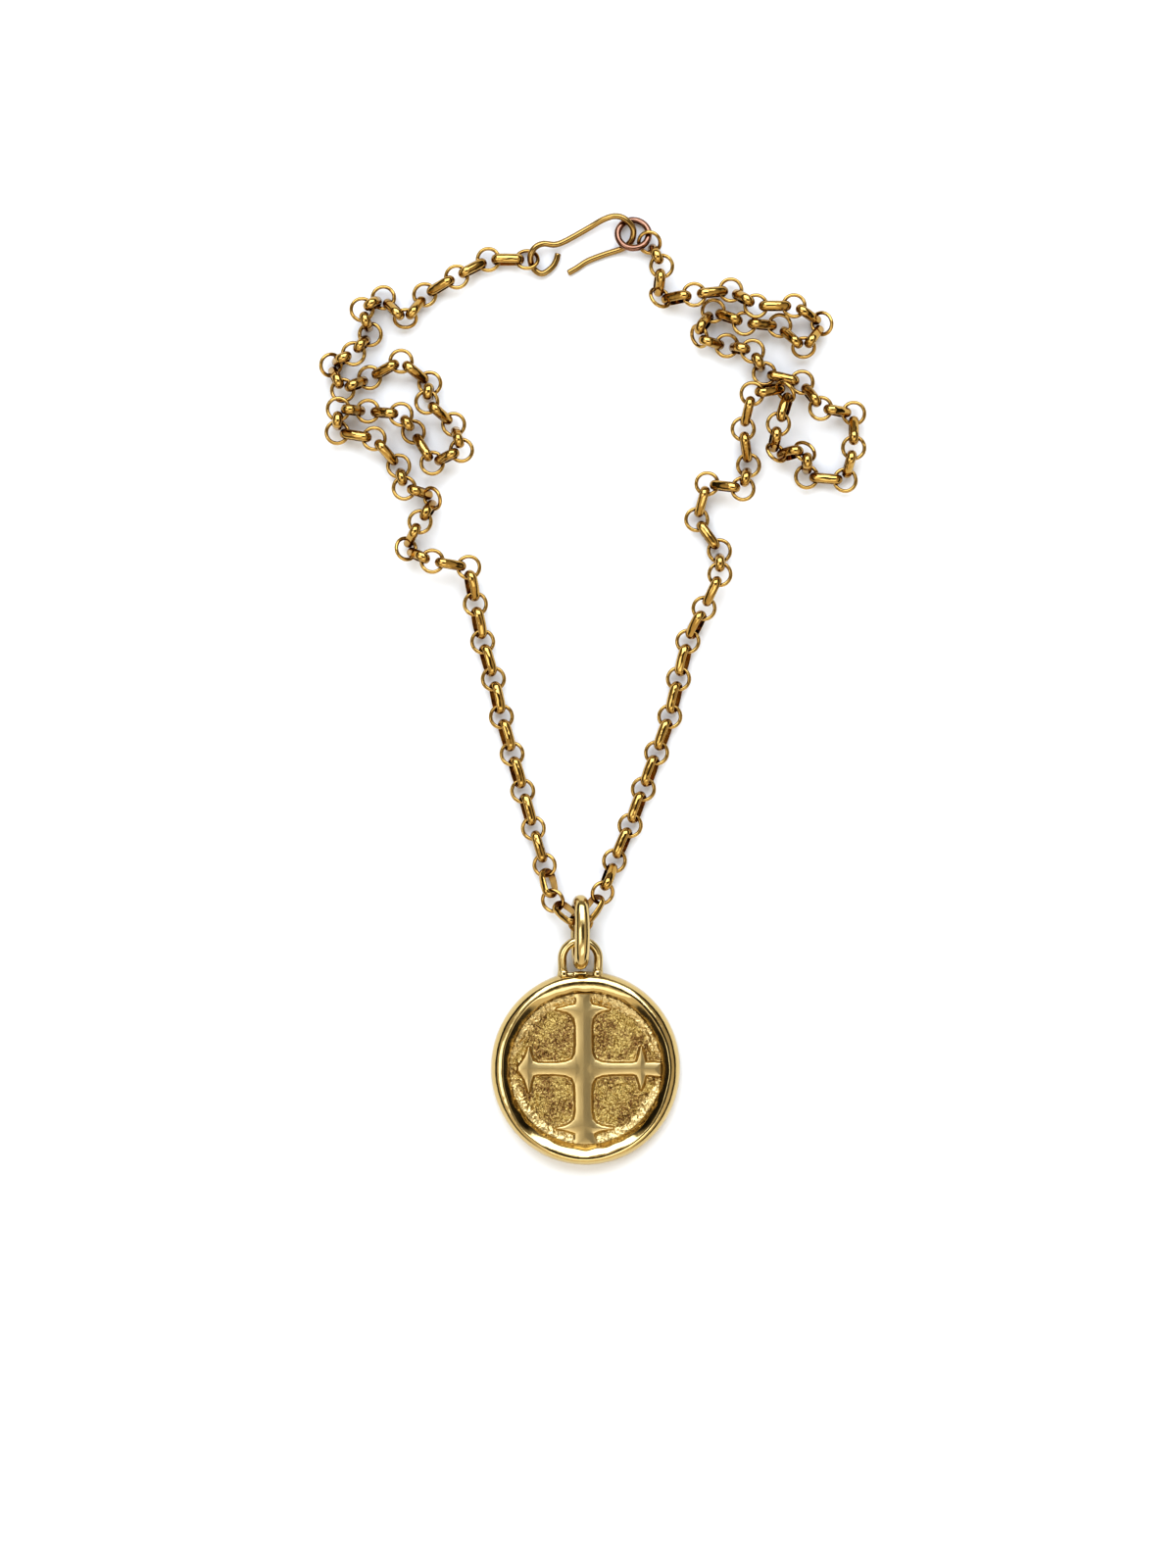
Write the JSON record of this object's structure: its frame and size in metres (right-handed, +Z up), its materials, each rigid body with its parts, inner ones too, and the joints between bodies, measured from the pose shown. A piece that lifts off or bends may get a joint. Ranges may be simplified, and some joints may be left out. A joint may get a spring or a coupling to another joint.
{
  "type": "religious pendant on a chain necklace",
  "caption": "Round gold medallion with a raised cross, hung by a bail on a folded link chain that a hook closes.",
  "frame": {"origin": "centre of the underside of the box around the necklace as it lies on a surface", "axes": "+Z up from the surface, +Y from the medallion towards the clasp, +X to the right seen from above"},
  "size_m": [0.0838, 0.1454, 0.0076],
  "materials": {
    "burnished_gold": "burnished yellow gold, softly polished",
    "cast_gold": "cast yellow gold, pitted ground with brown tarnish and a worn cross",
    "gold_wire": "drawn yellow gold wire, polished and worn",
    "rose_gold_wire": "drawn reddish gold wire, polished"
  },
  "bodies": {
    "root": {"bezel": "burnished_gold", "cross_disc": "cast_gold", "bail": "burnished_gold", "chain_left": "gold_wire", "chain_right": "gold_wire", "clasp_hook": "gold_wire", "clasp_ring": "rose_gold_wire"}
  },
  "joints": []
}
